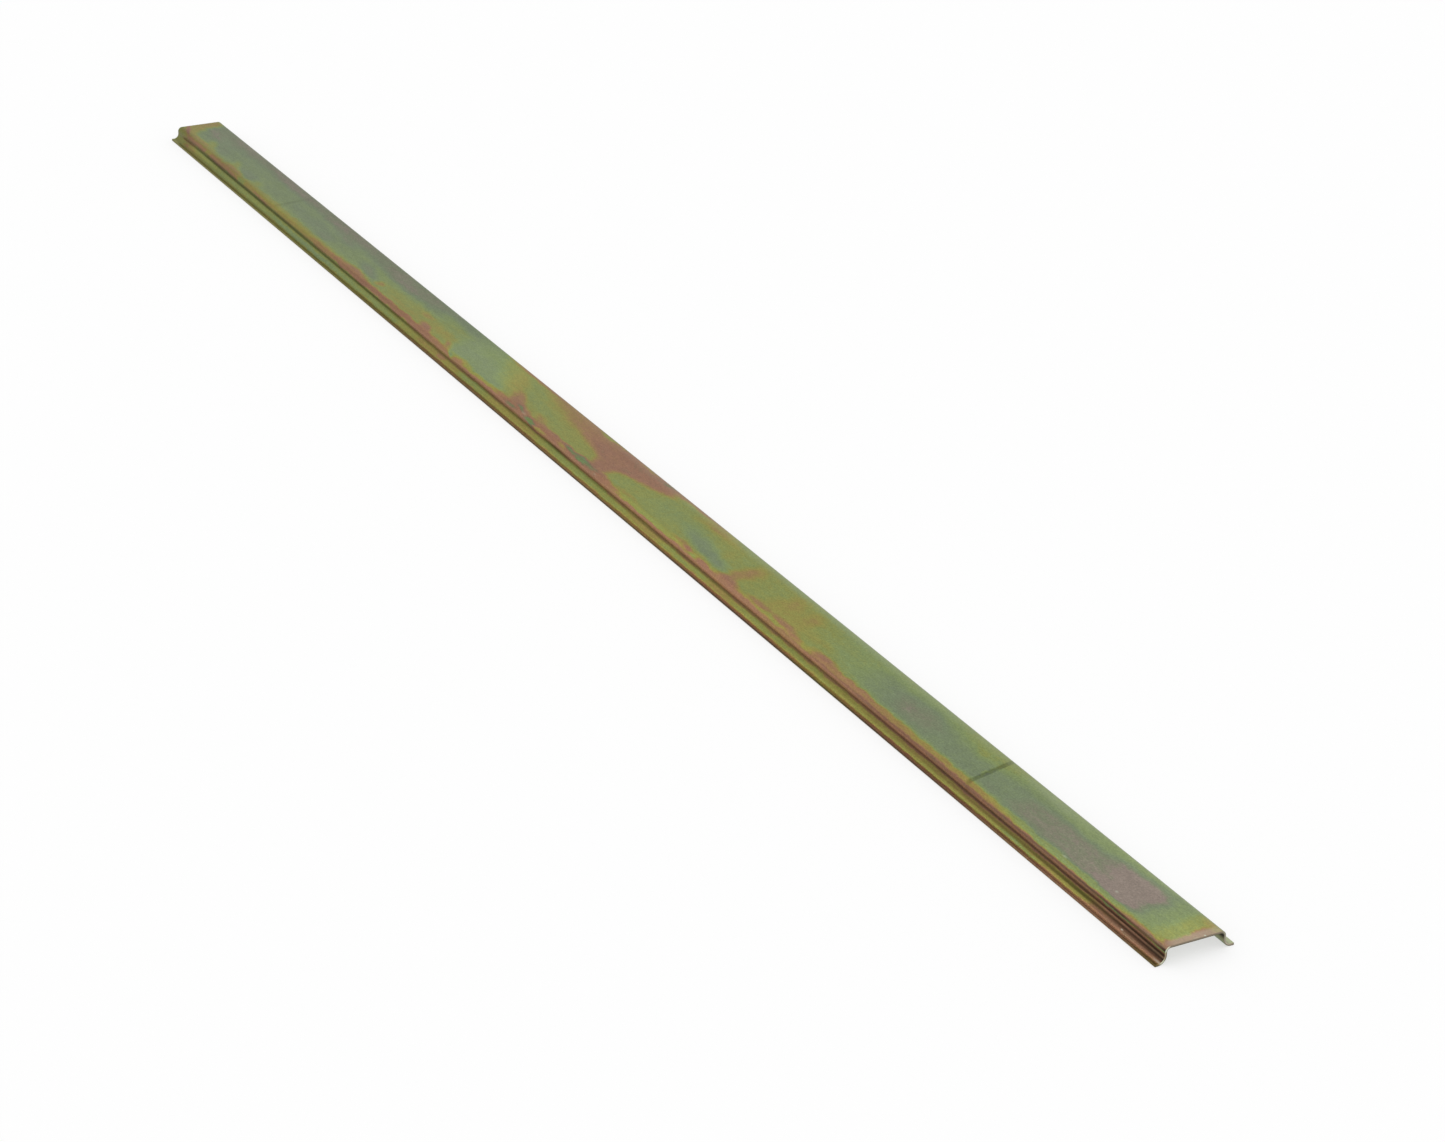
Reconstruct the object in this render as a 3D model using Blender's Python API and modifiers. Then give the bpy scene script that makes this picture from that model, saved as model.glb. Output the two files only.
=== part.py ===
"""Unperforated top-hat mounting rail, 35 mm wide and 7.5 mm high, roll-formed from one steel strip.

The rail lies open side down on its two flanges, as it would on a bench. X runs along it, Y across it
and Z up. The origin is the middle of its base, level with the undersides of the flanges.

One strip makes the whole section: the crown, two walls, two flanges and the four bends between them.
It is drawn as one half of the strip's middle surface, bent at its own radii, then mirrored and thickened.
"""

import bmesh
import bpy

# Driving dimensions, in metres
RAIL_LENGTH = 1.000
RAIL_WIDTH = 0.035  # over the edges of both flanges
HAT_WIDTH = 0.027  # over the outsides of both walls
RAIL_HEIGHT = 0.0075  # from the undersides of the flanges to the top of the crown
STRIP_THICKNESS = 0.001
CROWN_BEND_RADIUS = 0.0014  # inside the bend from the crown into a wall
FLANGE_BEND_RADIUS = 0.0028  # inside the bend from a wall out into its flange
CUT_EDGE_RADIUS = 0.00012  # the plating rounds the sheared ends and the slit edges

BEND_STEPS = 8  # flats in each quarter turn
CUT_EDGE_STEPS = 2
SHARP_ANGLE = 0.6  # radians, steeper than one flat of a bend and shallower than a cut edge
MERGE_DISTANCE = 0.00001

# The finish, as it reads from the whole rail: zinc plate under a yellow chromate film
PLATE_FINISH = {
    "Base Color": (0.22, 0.26, 0.13, 1.0),
    "Metallic": 0.9,
    "Roughness": 0.4,
}


def clear_scene():
    for obj in list(bpy.data.objects):
        bpy.data.objects.remove(obj, do_unlink=True)


def chromated_zinc():
    material = bpy.data.materials.new("chromated_zinc")
    material.use_nodes = True
    shader = material.node_tree.nodes["Principled BSDF"]
    for quality, value in PLATE_FINISH.items():
        shader.inputs[quality].default_value = value
    material.diffuse_color = PLATE_FINISH["Base Color"]
    return material


def half_section():
    """The strip's middle line from the middle of the crown to one slit edge, as (y, z), with sharp bends."""
    half_strip = STRIP_THICKNESS / 2
    wall_y = HAT_WIDTH / 2 - half_strip
    crown_z = RAIL_HEIGHT - half_strip
    flange_z = half_strip
    return [
        (0.0, crown_z),
        (wall_y, crown_z),
        (wall_y, flange_z),
        (RAIL_WIDTH / 2, flange_z),
    ]


def bend(mesh, edge, inside_radius):
    """Rolls one sharp fold into a quarter turn about its inside radius."""
    bmesh.ops.bevel(
        mesh,
        geom=[edge],
        offset=inside_radius + STRIP_THICKNESS / 2,
        offset_type="OFFSET",
        segments=BEND_STEPS,
        profile=0.5,
        affect="EDGES",
    )


def half_strip_mesh():
    """One half of the strip's middle surface: crown, wall and flange, with both bends rolled."""
    mesh = bmesh.new()
    start = [mesh.verts.new((-RAIL_LENGTH / 2, y, z)) for y, z in half_section()]
    lines = [mesh.edges.new(pair) for pair in zip(start, start[1:])]
    made = bmesh.ops.extrude_edge_only(mesh, edges=lines)["geom"]
    end = [item for item in made if isinstance(item, bmesh.types.BMVert)]
    bmesh.ops.translate(mesh, verts=end, vec=(RAIL_LENGTH, 0.0, 0.0))

    crown_fold, flange_fold = (
        next(edge for edge in vert.link_edges if len(edge.link_faces) == 2)
        for vert in start[1:3]
    )
    bend(mesh, crown_fold, CROWN_BEND_RADIUS)
    bend(mesh, flange_fold, FLANGE_BEND_RADIUS)
    bmesh.ops.recalc_face_normals(mesh, faces=mesh.faces)

    data = bpy.data.meshes.new("rail")
    mesh.to_mesh(data)
    mesh.free()
    return data


def rail(material):
    obj = bpy.data.objects.new("rail", half_strip_mesh())
    obj.data.materials.append(material)

    mirror = obj.modifiers.new("Both halves", "MIRROR")
    mirror.use_axis = (False, True, False)
    mirror.merge_threshold = MERGE_DISTANCE

    thickness = obj.modifiers.new("Strip thickness", "SOLIDIFY")
    thickness.thickness = STRIP_THICKNESS
    thickness.offset = 0.0
    thickness.use_even_offset = True

    cut_edges = obj.modifiers.new("Cut edges", "BEVEL")
    cut_edges.limit_method = "ANGLE"
    cut_edges.angle_limit = SHARP_ANGLE
    cut_edges.width = min(CUT_EDGE_RADIUS, STRIP_THICKNESS / 4)
    cut_edges.segments = CUT_EDGE_STEPS

    obj.data.shade_smooth()
    obj.data.set_sharp_from_angle(angle=SHARP_ANGLE)
    return obj


def main():
    clear_scene()
    parts = bpy.data.collections.new("din_rail")
    bpy.context.scene.collection.children.link(parts)
    parts.objects.link(rail(chromated_zinc()))


main()
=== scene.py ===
"""Looks of the unperforated top-hat mounting rail: plated strip, floor, light and camera."""

import math
from typing import NamedTuple

import bmesh
import bpy
from mathutils import Matrix, Vector


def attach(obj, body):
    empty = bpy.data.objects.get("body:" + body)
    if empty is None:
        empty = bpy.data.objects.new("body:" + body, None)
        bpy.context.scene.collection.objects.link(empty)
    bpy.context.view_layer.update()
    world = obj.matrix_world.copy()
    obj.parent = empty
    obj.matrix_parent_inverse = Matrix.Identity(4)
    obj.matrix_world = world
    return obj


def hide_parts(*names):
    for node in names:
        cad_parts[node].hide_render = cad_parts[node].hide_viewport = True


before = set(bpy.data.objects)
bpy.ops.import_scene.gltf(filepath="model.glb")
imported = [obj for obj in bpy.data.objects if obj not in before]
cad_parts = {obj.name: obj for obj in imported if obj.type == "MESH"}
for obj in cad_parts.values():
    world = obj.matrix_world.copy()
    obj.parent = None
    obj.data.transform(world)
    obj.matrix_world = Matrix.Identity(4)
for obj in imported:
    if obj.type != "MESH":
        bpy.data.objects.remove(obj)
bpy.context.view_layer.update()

MM = 0.001

# The rail's own sizes, in millimetres
RAIL_LENGTH = 1000.0
RAIL_WIDTH = 35.0
HAT_WIDTH = 27.0
RAIL_HEIGHT = 7.5
STRIP = 1.0
CROWN_BEND = 1.4  # inside radius
FLANGE_BEND = 2.8  # inside radius
SLIT_EDGE = 0.12  # rounding of the strip's long edges
SHEARED_END = 0.12  # rounding of its two ends

# How finely the mesh follows them
CROWN_STEPS = 26
BEND_STEPS = 12
WALL_STEPS = 2
FLANGE_STEPS = 3
EDGE_STEPS = 3
STATION_SPACING = 4.0
END_STATIONS = (0.0, 0.035, 0.075, 0.12, 0.3, 0.7, 1.2, 2.0, 3.0)  # distances from each end
SHARP_ANGLE = 40.0  # in degrees, more than one step of a bend or of a rounded edge

# Two lines pressed across the crown: place on its middle, lean, half their width, and depth
PRESSED_LINE = 362.2
PRESSED_LEAN = -0.233
FAINT_LINE = -354.0
FAINT_LEAN = -0.1
GROOVES = (
    (PRESSED_LINE, PRESSED_LEAN, 1.0, 0.07),
    (FAINT_LINE, FAINT_LEAN, 1.6, 0.02),
)
GROOVE_REACH = 13.0  # how far they go to each side of the crown's middle
GROOVE_STRETCH = 5.0  # how much of the rail on each side of them has stations close together
GROOVE_SPACING = 0.4  # how close those are

# The camera, placed as the photograph was taken: degrees, metres, and its lens in millimetres
CAMERA_AZIMUTH = 60.758
CAMERA_ELEVATION = 25.808
CAMERA_ROLL = 1.693
CAMERA_DISTANCE = 1.66742
CAMERA_RIGHT = 0.067422
CAMERA_UP = -0.057453
SENSOR_WIDTH = 36.0
LENS = 87.61

# The floor shows as white, with a light shadow of the rail on it
FLOOR_RADIUS = 12.0  # in metres
FLOOR_SEGMENTS = 96
FLOOR_COLOUR = (0.98, 0.98, 0.98, 1.0)
FLOOR_GLOW = 0.6  # share of plain white in what the camera and the metal see of it
WHITE = (1.0, 1.0, 1.0, 1.0)

# Thickness of the chromate film, on a scale on which each colour it shows has its own place
MAUVE = 0.0
GREY = 0.1
TEAL = 0.2
SEA_GREEN = 0.3
GREEN = 0.4
OLIVE = 0.5
YELLOW = 0.6
ORANGE = 0.7
BROWN = 0.8
PINK = 0.9
DULL_BROWN = 1.0
DARK_TEAL = 1.1
DARK_GREEN = 1.25
FILM_COLOURS = (
    (MAUVE, (142, 128, 118)),
    (GREY, (123, 128, 103)),
    (TEAL, (120, 133, 103)),
    (SEA_GREEN, (125, 139, 99)),
    (GREEN, (130, 145, 94)),
    (OLIVE, (138, 144, 80)),
    (YELLOW, (147, 141, 74)),
    (ORANGE, (150, 129, 78)),
    (BROWN, (153, 120, 86)),
    (PINK, (150, 111, 89)),
    (DULL_BROWN, (130, 114, 87)),
    (DARK_TEAL, (110, 129, 87)),
    (DARK_GREEN, (118, 133, 68)),
)
SOFTNESS = 1.3  # widens the edges of every stain
BATCH = 30  # how many stains are worked out at once

# The film across the strip: place from the crown's middle, negative on the lit side, and thickness
ACROSS_END = 25.0
FILM_ACROSS = (
    (-ACROSS_END, 0.62),
    (-23.2, 0.66),
    (-22.2, 0.6),
    (-20.8, 0.5),
    (-19.2, 0.54),
    (-18.4, 0.7),
    (-17.2, 0.8),
    (-16.2, 0.82),
    (-14.6, 0.84),
    (-12.9, 0.78),
    (-11.4, 0.66),
    (-10.0, 0.52),
    (-8.0, 0.4),
    (-4.0, 0.3),
    (6.0, 0.3),
    (10.5, 0.38),
    (12.0, 0.42),
    (13.6, 0.5),
    (15.6, 0.76),
    (17.2, 0.72),
    (18.6, 0.5),
    (21.0, 0.46),
    (23.0, 0.64),
    (ACROSS_END, 0.68),
)
# The same pale colour also paints highlights along the crown's far edge and at the near end
PALE = (0.62, 0.66, 0.52, 1.0)  # where the film is thin and whitish

# The inner face: the depths in the strip, 0 outside and 1 inside, between which it takes over, how
# the outer face's stains are turned round and moved on it, and its colour with the share of it.
# That colour is greyer and paler than the film, partly painted light on the shaded inner faces.
INNER_FACE = (0.85, 0.95)
INNER_TURN = -0.9
INNER_SHIFT = 60.0
INNER_COLOUR_AND_LIGHT = (0.34, 0.37, 0.28, 1.0)
INNER_SHARE = 0.5

# Colours of the sheared ends, from one slit edge over the crown to the other; the cream ones on the
# lit side's crown bend and flange bend are painted highlights
CUT_COLOURS_AND_HIGHLIGHTS = (
    (-24.6, (95, 85, 55)),
    (-22.5, (120, 105, 75)),
    # painted highlight on the flange bend
    (-21.2, (215, 215, 190)),
    (-19.6, (205, 208, 180)),
    (-18.6, (165, 150, 126)),
    (-16.2, (165, 150, 126)),
    # painted highlight on the crown bend
    (-15.3, (205, 210, 188)),
    (-12.4, (218, 220, 196)),
    (-11.2, (138, 126, 110)),
    (10.8, (140, 127, 112)),
    (13.0, (150, 146, 128)),
    (15.5, (158, 155, 138)),
    (18.5, (168, 160, 142)),
    (20.5, (176, 166, 148)),
    (23.0, (160, 146, 128)),
    (24.4, (92, 72, 58)),
)
CUT_FOOT = (0.13, 0.12, 0.075, 1.0)  # what they darken to towards the inner face
CUT_FOOT_DEPTHS = (0.45, 0.9)
CUT_FOOT_SHARE = 0.75

# Gloss
ROUGHNESS = 0.33
CUT_ROUGHNESS = 0.15  # what the sheared ends add to it
EDGE_TINT = (0.68, 0.68, 0.68, 1.0)  # of what shines at a flat angle
RELIEF = 0.012  # height of the finest relief, in millimetres
DRAW_LINE_RELIEF = 0.5  # share of the draw lines in it, beside 1 for the spangle

# A Mix node's sockets for colours, which come after those for numbers
COLOUR_A = 6
COLOUR_B = 7
COLOUR_RESULT = 2


class Patches(NamedTuple):
    """Noise in patches of a size in millimetres. Each kind has its own layer of it."""

    length: float
    width: float
    layer: float
    strength: float
    detail: float = 2.0
    roughness: float = 0.5


# What moves the film's stains, in millimetres: along the rail, then across it
DRIFT = Patches(20.0, 5.0, layer=0.0, strength=9.0)
TREMBLE = Patches(5.0, 2.5, layer=7.0, strength=1.6)
DRIP = Patches(10.0, 12.0, layer=21.0, strength=4.0)
FRINGE = Patches(3.0, 3.0, layer=33.0, strength=0.8)

# What changes the film's thickness
CLOUD = Patches(18.0, 6.0, layer=51.0, strength=0.18, detail=4.0, roughness=0.6)
GRAIN = Patches(2.6, 1.8, layer=63.0, strength=0.18, detail=3.0, roughness=0.7)

# What lightens and darkens the metal, from fine to coarse, and then its sheared ends
MOTTLES = (
    Patches(1.0, 0.7, layer=71.0, strength=0.9, roughness=0.6),
    Patches(2.8, 1.9, layer=77.0, strength=0.3),
    Patches(7.0, 3.0, layer=79.0, strength=0.2),
    Patches(40.0, 9.0, layer=83.0, strength=0.16),
)
CUT_GRAIN = Patches(0.5, 0.5, layer=91.0, strength=0.5, detail=3.0)

# What changes its roughness
DRAW_LINES = Patches(60.0, 0.3, layer=5.0, strength=0.08, detail=3.0, roughness=0.7)
SPANGLE = Patches(1.2, 1.2, layer=15.0, strength=0.1, detail=3.0, roughness=0.6)
BLOTCH = Patches(25.0, 7.0, layer=25.0, strength=0.14, detail=3.0)


class Field:
    """A value in a node tree. Arithmetic on it adds the Math nodes that work it out."""

    def __init__(self, tree, socket):
        self.tree = tree
        self.socket = socket

    def work(self, operation, *others, clamp=False):
        node = self.tree.nodes.new("ShaderNodeMath")
        node.operation = operation
        node.use_clamp = clamp
        for slot, value in zip(node.inputs, (self, *others)):
            connect(self.tree, slot, value)
        return Field(self.tree, node.outputs[0])

    def __add__(self, other):
        return self.work("ADD", other)

    def __sub__(self, other):
        return self.work("SUBTRACT", other)

    def __mul__(self, other):
        return self.work("MULTIPLY", other)

    def __truediv__(self, other):
        return self.work("DIVIDE", other)

    def __pow__(self, other):
        return self.work("POWER", other)

    def absolute(self):
        return self.work("ABSOLUTE")

    def rest(self):
        """What is left of 1 without this value."""
        return self * -1.0 + 1.0

    def ease(self, start, stop, low=0.0, high=1.0):
        """Goes smoothly from low, where the value is start, to high, where it is stop."""
        node = self.tree.nodes.new("ShaderNodeMapRange")
        node.interpolation_type = "SMOOTHSTEP"
        for slot, value in zip(node.inputs, (self, start, stop, low, high)):
            connect(self.tree, slot, value)
        return Field(self.tree, node.outputs[0])

    def towards(self, other, share):
        """Mixes this value with another one."""
        node = self.tree.nodes.new("ShaderNodeMix")
        connect(self.tree, node.inputs["Factor"], share)
        connect(self.tree, node.inputs["A"], self)
        connect(self.tree, node.inputs["B"], other)
        return Field(self.tree, node.outputs["Result"])

    def tinted(self, colour, share):
        """Mixes this colour with another one."""
        node = self.tree.nodes.new("ShaderNodeMix")
        node.data_type = "RGBA"
        connect(self.tree, node.inputs["Factor"], share)
        connect(self.tree, node.inputs[COLOUR_A], self)
        connect(self.tree, node.inputs[COLOUR_B], colour)
        return Field(self.tree, node.outputs[COLOUR_RESULT])

    def scaled(self, amount):
        """Makes this colour darker or lighter."""
        node = self.tree.nodes.new("ShaderNodeVectorMath")
        node.operation = "SCALE"
        connect(self.tree, node.inputs[0], self)
        connect(self.tree, node.inputs["Scale"], amount)
        return Field(self.tree, node.outputs[0])


def connect(tree, slot, value):
    """Links a field to a socket, or sets a plain value on it."""
    if isinstance(value, Field):
        tree.links.new(value.socket, slot)
    else:
        slot.default_value = value


def attribute(tree, name):
    """A value that the mesh keeps at each of its points."""
    node = tree.nodes.new("ShaderNodeAttribute")
    node.attribute_name = name
    return Field(tree, node.outputs["Fac"])


def vector(x, y, z):
    node = x.tree.nodes.new("ShaderNodeCombineXYZ")
    for slot, value in zip(node.inputs, (x, y, z)):
        connect(x.tree, slot, value)
    return Field(x.tree, node.outputs[0])


def noise(kind, along, across):
    """Smooth noise of one kind, from about -0.5 to 0.5."""
    place = vector(along / kind.length, across / kind.width, kind.layer)
    node = place.tree.nodes.new("ShaderNodeTexNoise")
    node.inputs["Scale"].default_value = 1.0
    node.inputs["Detail"].default_value = kind.detail
    node.inputs["Roughness"].default_value = kind.roughness
    connect(place.tree, node.inputs["Vector"], place)
    return Field(place.tree, node.outputs["Fac"]) - 0.5


def swing(kind, along, across):
    """The same noise at its own strength."""
    return noise(kind, along, across) * kind.strength


def linear(colour):
    """Turns a colour as it shows on screen, 0 to 255, into linear values, by the sRGB rule."""
    parts = []
    for value in colour:
        share = value / 255
        if share <= 0.04045:
            parts.append(share / 12.92)
        else:
            parts.append(((share + 0.055) / 1.055) ** 2.4)
    return (*parts, 1.0)


def ramp(value, low, high, stops):
    """Looks a value up between stops, each a place and a colour or a number."""
    share = (value - low).work("DIVIDE", high - low, clamp=True)
    node = value.tree.nodes.new("ShaderNodeValToRGB")
    connect(value.tree, node.inputs["Fac"], share)
    band = node.color_ramp
    band.interpolation = "LINEAR"
    coloured = isinstance(stops[0][1], tuple)
    for index, (place, result) in enumerate(stops):
        position = (place - low) / (high - low)
        if index < 2:  # a new ramp has its first two stops
            stop = band.elements[index]
            stop.position = position
        else:
            stop = band.elements.new(position)
        stop.color = linear(result) if coloured else (result, result, result, 1.0)
    if coloured:
        return Field(value.tree, node.outputs["Color"])
    split = value.tree.nodes.new("ShaderNodeSeparateColor")
    value.tree.links.new(node.outputs["Color"], split.inputs["Color"])
    return Field(value.tree, split.outputs["Red"])


def stain_group():
    """A node group that paints one soft-edged stain on a value."""
    group = bpy.data.node_groups.new("stain", "ShaderNodeTree")
    names = (
        "Value",
        "Along",
        "Across",
        "At",
        "Off",
        "Length",
        "Width",
        "Lean",
        "Square",
        "Edge",
        "To",
        "Strength",
    )
    for name in names:
        group.interface.new_socket(name, in_out="INPUT", socket_type="NodeSocketFloat")
    group.interface.new_socket("Value", in_out="OUTPUT", socket_type="NodeSocketFloat")
    given = group.nodes.new("NodeGroupInput")
    result = group.nodes.new("NodeGroupOutput")
    field = {name: Field(group, given.outputs[name]) for name in names}
    up = field["Across"] - field["Off"]
    along = field["Along"] - field["At"] - up * field["Lean"]
    power = field["Square"]
    far = (along / field["Length"]).absolute() ** power
    wide = (up / field["Width"]).absolute() ** power
    reach = (far + wide) ** (power**-1.0)
    half_edge = field["Edge"] * SOFTNESS
    mask = reach.ease(half_edge + 1.0, half_edge.rest())
    painted = field["Value"].towards(field["To"], mask * field["Strength"])
    connect(group, result.inputs[0], painted)
    return group


def stained(value, along, across, group, stains):
    """Paints a list of stains on a value, one after another.

    The renderer would work out the shapes of all of them before it paints the first, and it has
    room for only about 200. So each batch waits for the one before: its place has a zero added
    that only the painted value gives.
    """
    for index, (name, shape) in enumerate(stains):
        if index and index % BATCH == 0:
            zero = value - value
            along = along + zero
            across = across + zero
        node = value.tree.nodes.new("ShaderNodeGroup")
        node.node_tree = group
        node.label = name
        given = {
            "Value": value,
            "Along": along,
            "Across": across,
            **shape,
        }
        for socket, amount in given.items():
            connect(value.tree, node.inputs[socket], amount)
        value = Field(value.tree, node.outputs[0])
    return value


def stain(name, at, off, length, width, to, lean=0.0, square=2.0, edge=0.45, strength=1.0):
    """One stain: its middle along and across, half its length and width, and the value it turns to.

    It leans along the rail as it goes across. Square is 2 for an oval and more for squarer
    corners, edge is how soft its outline is, and a strength below 1 lets what is under it show.
    """
    return name, {
        "At": at,
        "Off": off,
        "Length": length,
        "Width": width,
        "To": to,
        "Lean": lean,
        "Square": square,
        "Edge": edge,
        "Strength": strength,
    }


def run(name, start, stop, off, width, to, edge=0.3, strength=1.0):
    """A stretch of a band along the rail, from start to stop, with square ends."""
    return stain(
        name,
        (start + stop) / 2,
        off,
        (stop - start) / 2,
        width,
        to,
        square=5.0,
        edge=edge,
        strength=strength,
    )


# Stains of the film, which turn its thickness to a place on its scale. Lengths are in millimetres,
# along from the rail's middle and across from the crown's, round the bends. First the wide grounds.
GROUNDS = (
    run("grey-green crown", -510, -405, 1, 9, 0.23, edge=0.5),
    run("pale green crown", -430, -125, -1, 7, 0.27, edge=0.5),
    run("grey band", -520, -140, 10.5, 4.4, 0.11, edge=0.5),
    run("olive-green rise", -246, -129, -5, 6.5, 0.44, edge=0.8),
    run("olive-yellow ground", -66, 60, -2, 9, 0.54, edge=0.4),
    run("olive ground", 44, 165, -1, 12, 0.5, edge=0.3),
    run("olive field", 156, 255, 0, 12, 0.5, edge=0.3),
    run("green field", 236, 300, 2, 11, 0.42, edge=0.5),
    run("pale green front", 290, 500, 6, 9, 0.36, edge=0.4),
    run("teal crown", 276, 412, -2, 8.2, 0.21, edge=0.25),
    run("light green edge", 200, 495, 12.4, 2.6, 0.4, edge=0.6),
    run("olive wall at the back", -540, -185, -17.2, 1.6, 0.55, edge=0.4),
    run("weak stripe", -412, -290, -14.4, 1.9, 0.66, edge=0.3),
    run("brown stripe", 300, 505, -15.4, 1.3, 0.86, edge=0.2),
)

# The far part of the crown
BACK_STAINS = (
    run("grey band low at the back", -505, -440, 7, 4, 0.15, edge=0.6),
    run("grey band low in the middle", -250, -155, 7, 4, 0.09, edge=0.6),
    stain("brown in the band 1", -448, 10, 22, 3, 0.06, edge=0.7),
    stain("brown in the band 2", -380, 9, 26, 3, 0.06, edge=0.7),
    stain("brown in the band 3", -305, 8.5, 30, 3.4, 0.06, edge=0.7),
    stain("mauve cloud", -476, 0.5, 9, 4.4, 0.07, lean=-2.4, edge=0.8),
    stain("teal 1", -453, -2.5, 7, 5, 0.17, lean=-1.5, edge=0.6),
    stain("teal 2", -405, -6, 8, 3.6, 0.17, lean=-1.0, edge=0.6),
    stain("teal 3", -345, -2, 6, 3, 0.21, edge=0.7),
    stain("teal 4", -315, -3, 18, 3.6, 0.19, edge=0.7),
    run("brown back edge", -512, -490.5, 2, 11, 0.67, edge=0.3),
    stain("olive corner", -494, -7, 9, 4.5, 0.62, lean=-1.0, edge=0.5),
    stain("olive foot 1", -470, -10.4, 22, 2.2, 0.64, edge=0.5),
    stain("olive tongue 1", -462, -6.5, 5, 4, 0.5, lean=-1.5, edge=0.6),
    stain("olive tongue 2", -423, -7.5, 6, 4, 0.5, lean=-1.5, edge=0.6),
    stain("olive tongue 3", -391, -8, 5, 3, 0.48, edge=0.6),
    stain("orange foot 1", -418, -11, 10, 1.8, 0.7, edge=0.5),
    run("olive foot 2", -392, -295, -11.5, 1.5, 0.56, edge=0.6),
    run("pink stripe 1", -491, -458, -14.2, 1.5, 0.82),
    run("olive gap 1", -457.5, -450, -14.2, 1.8, 0.6),
    run("pink stripe 2", -449, -409, -14.6, 1.3, 0.79),
    run("olive gap 2", -408, -396, -14, 2, 0.5),
    run("pink stripe 3", -383, -364, -15, 1.1, 0.77),
    stain("pink diagonal", -493, -10, 2.6, 4.2, 0.9, lean=-2.2, edge=0.5),
    stain("green corner", -501, -17, 9, 8, 0.42, lean=-0.8, square=3, edge=0.3),
    stain("mauve 1", -290, 3.5, 12, 3, 0.1, lean=-2, edge=0.7),
    stain("mauve 2", -218, 5, 18, 3.6, 0.07, lean=-2, edge=0.6),
    stain("teal 5", -297, -5.5, 6, 3, 0.17, edge=0.6),
    stain("teal 6", -240, -5, 10, 4.2, 0.14, lean=-1.5, edge=0.6),
    stain("green top", -146, 3, 22, 4, 0.44, lean=-2, edge=0.6),
    stain("yellow 1", -200, -5.5, 16, 3, 0.5, edge=0.6),
    stain("yellow 2", -165, -5.5, 30, 4.6, 0.52, edge=0.6),
    stain("orange spot 1", -221, -6.8, 4, 2, 0.7, edge=0.5),
    stain("orange spot 2", -169, -2.8, 5, 1.7, 0.66, edge=0.6),
    stain("orange under", -185, -8.8, 20, 1.6, 0.58, edge=0.6),
    stain("brown cloud", -142, -5.5, 13, 3, 0.6, edge=0.7),
    run("pink stripe 4", -298, -262, -13.8, 1.8, 0.76),
    run("pink stripe 5", -264, -122, -14, 2.3, 0.87),
    stain("pink hump", -243, -11.6, 14, 2.6, 0.84, edge=0.5),
    stain("pink tongue 1", -155, -10.6, 6, 3.2, 0.88, lean=-1.9, edge=0.45),
    stain("pink tongue 2", -126, -11, 3.6, 3.4, 0.92, lean=-1.7, edge=0.4),
    run("teal clearing", -129, -66, -1, 12.5, 0.3, edge=0.14),
    stain("green in the clearing", -100, 6, 16, 5, 0.37, edge=0.7),
    stain("teal gap", -119, -12.2, 2.4, 2.8, 0.3, edge=0.5),
    stain("olive foot 3", -108, -11.8, 11, 1.5, 0.56, edge=0.5),
    stain("pink foot", -110, -13.8, 6, 1.5, 0.85, edge=0.4),
    run("olive foot 4", -102, -62, -13.4, 1, 0.56, edge=0.5),
    run("thin pink stripe 1", -104, -60, -15.6, 1, 0.86),
)

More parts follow.
